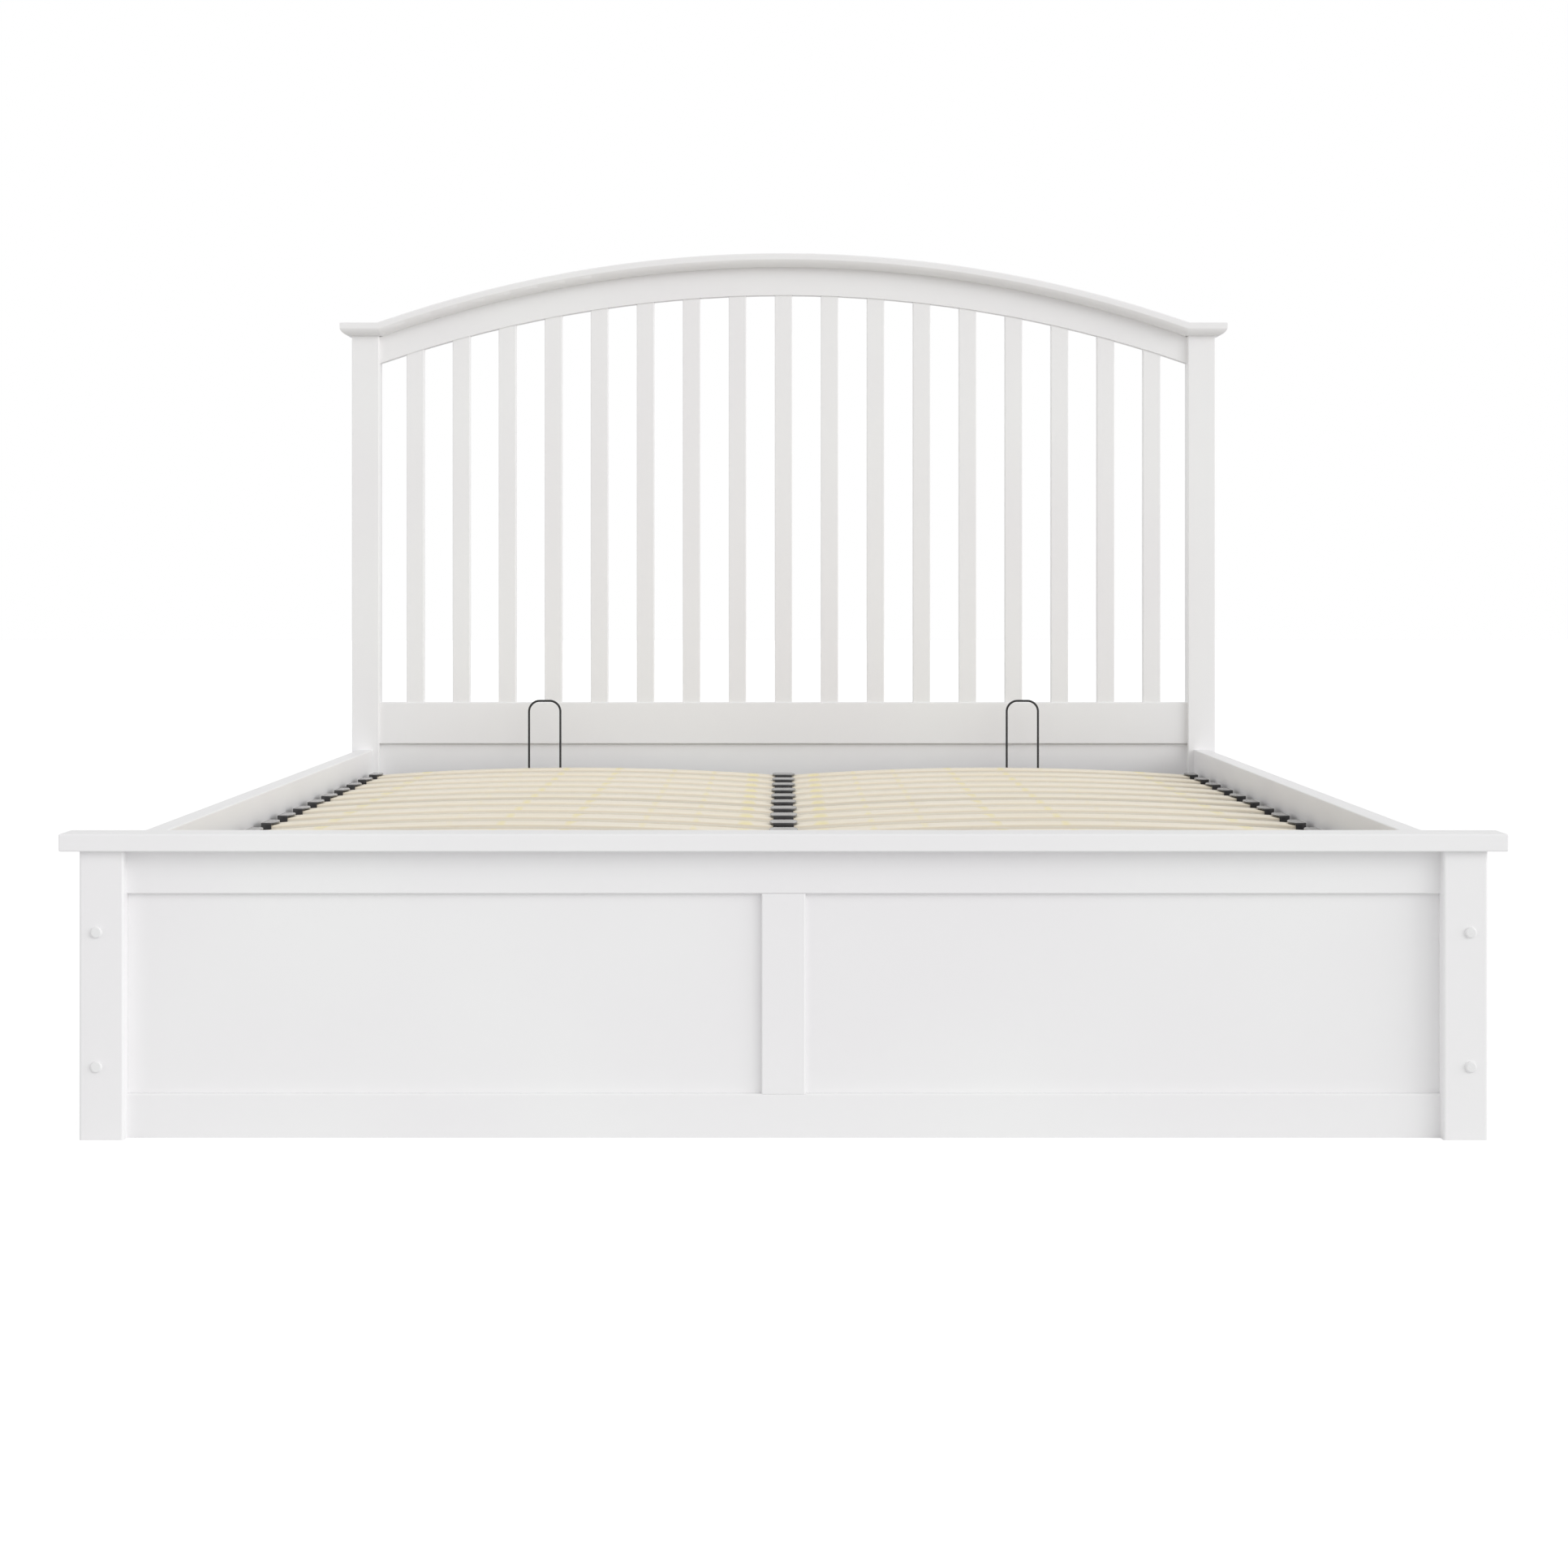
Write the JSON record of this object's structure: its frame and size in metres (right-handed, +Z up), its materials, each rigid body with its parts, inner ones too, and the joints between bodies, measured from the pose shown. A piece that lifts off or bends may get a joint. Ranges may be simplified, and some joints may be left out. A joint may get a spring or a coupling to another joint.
{
  "type": "ottoman bed",
  "caption": "White painted wooden ottoman bed with an arched spindle headboard and panelled footboard; its sprung slat platform lifts from the foot end on gas struts.",
  "frame": {"origin": "centre of the bed's footprint, on the floor", "axes": "+X to the right seen from the foot end, +Y from the footboard to the headboard, +Z up"},
  "size_m": [1.473, 2.07, 1.1187],
  "materials": {
    "white_paint": "satin white paint on solid wood and fibreboard",
    "white_plastic": "satin",
    "zinc_steel": "zinc plated",
    "bare_pine": "planed, unfinished",
    "floor_board": "pale faced fibreboard",
    "black_rubber": "matt",
    "coated_steel": "black powder coat",
    "black_plastic": "moulded, fine grain",
    "slat_wood": "sanded birch, clear",
    "black_webbing": "woven webbing",
    "strut_tube": "black paint",
    "strut_chrome": "polished"
  },
  "bodies": {
    "bed_frame": {"left_head_post": "white_paint", "right_head_post": "white_paint", "left_post_cap": "white_paint", "right_post_cap": "white_paint", "left_foot_leg": "white_paint", "right_foot_leg": "white_paint", "left_footboard_panel": "white_paint", "right_footboard_panel": "white_paint", "left_side_rail": "white_paint", "right_side_rail": "white_paint", "headboard_arch_rail": "white_paint", "headboard_spindles": "white_paint", "headboard_lower_rail": "white_paint", "headboard_panel": "white_paint", "headboard_bottom_rail": "white_paint", "arch_cap": "white_paint", "footboard_top_rail": "white_paint", "footboard_bottom_rail": "white_paint", "footboard_centre_stile": "white_paint", "footboard_cap": "white_paint", "bolt_cover_caps": "white_plastic", "frame_bolts": "zinc_steel", "barrel_nuts": "zinc_steel", "hardware_screws": "zinc_steel", "pivot_bolts": "zinc_steel", "floor_bearers": "bare_pine", "foot_rest_batten": "bare_pine", "floor_board_1": "floor_board", "floor_board_2": "floor_board", "floor_board_3": "floor_board", "floor_board_4": "floor_board", "rest_buffers": "black_rubber", "left_hinge_plate": "coated_steel", "right_hinge_plate": "coated_steel", "left_strut_bracket": "coated_steel", "right_strut_bracket": "coated_steel"},
    "slat_platform": {"left_side_tube": "coated_steel", "right_side_tube": "coated_steel", "left_lift_plate": "coated_steel", "right_lift_plate": "coated_steel", "left_slats": "slat_wood", "right_slats": "slat_wood", "left_end_caps": "black_plastic", "right_end_caps": "black_plastic", "left_mattress_bar": "coated_steel", "right_mattress_bar": "coated_steel", "centre_tube": "coated_steel", "head_cross_tube": "coated_steel", "foot_cross_tube": "coated_steel", "mid_cross_tubes": "coated_steel", "tube_end_plugs": "black_plastic", "upper_strut_pins": "zinc_steel", "centre_caps": "black_plastic", "lift_strap": "black_webbing", "strap_screws": "zinc_steel"},
    "left_strut_cylinder": {"left_strut_cylinder": "strut_tube"},
    "right_strut_cylinder": {"right_strut_cylinder": "strut_tube"},
    "left_strut_rod": {"left_strut_rod": "strut_chrome"},
    "right_strut_rod": {"right_strut_rod": "strut_chrome"}
  },
  "joints": [
    {"name": "platform_lift", "type": "hinge", "parent": "bed_frame", "child": "slat_platform", "pos_m": [0, 0.675, 0.23], "axis": [-1, 0, 0], "range_deg": [0, 42]},
    {"name": "left_strut_swing", "type": "hinge", "parent": "bed_frame", "child": "left_strut_cylinder", "pos_m": [-0.627, 0.55594, 0.045], "axis": [-1, 0, 0], "range_deg": [0, 21]},
    {"name": "left_rod_swing", "type": "hinge", "parent": "slat_platform", "child": "left_strut_rod", "pos_m": [-0.627, 0.455, 0.23], "axis": [-1, 0, 0], "range_deg": [-21, 0]},
    {"name": "right_strut_swing", "type": "hinge", "parent": "bed_frame", "child": "right_strut_cylinder", "pos_m": [0.627, 0.55594, 0.045], "axis": [-1, 0, 0], "range_deg": [0, 21]},
    {"name": "right_rod_swing", "type": "hinge", "parent": "slat_platform", "child": "right_strut_rod", "pos_m": [0.627, 0.455, 0.23], "axis": [-1, 0, 0], "range_deg": [-21, 0]}
  ],
  "couplings": [
    {"joint": "left_strut_swing", "follows": "platform_lift", "ratio": 0.5},
    {"joint": "left_rod_swing", "follows": "platform_lift", "ratio": -0.5},
    {"joint": "right_strut_swing", "follows": "platform_lift", "ratio": 0.5},
    {"joint": "right_rod_swing", "follows": "platform_lift", "ratio": -0.5}
  ]
}
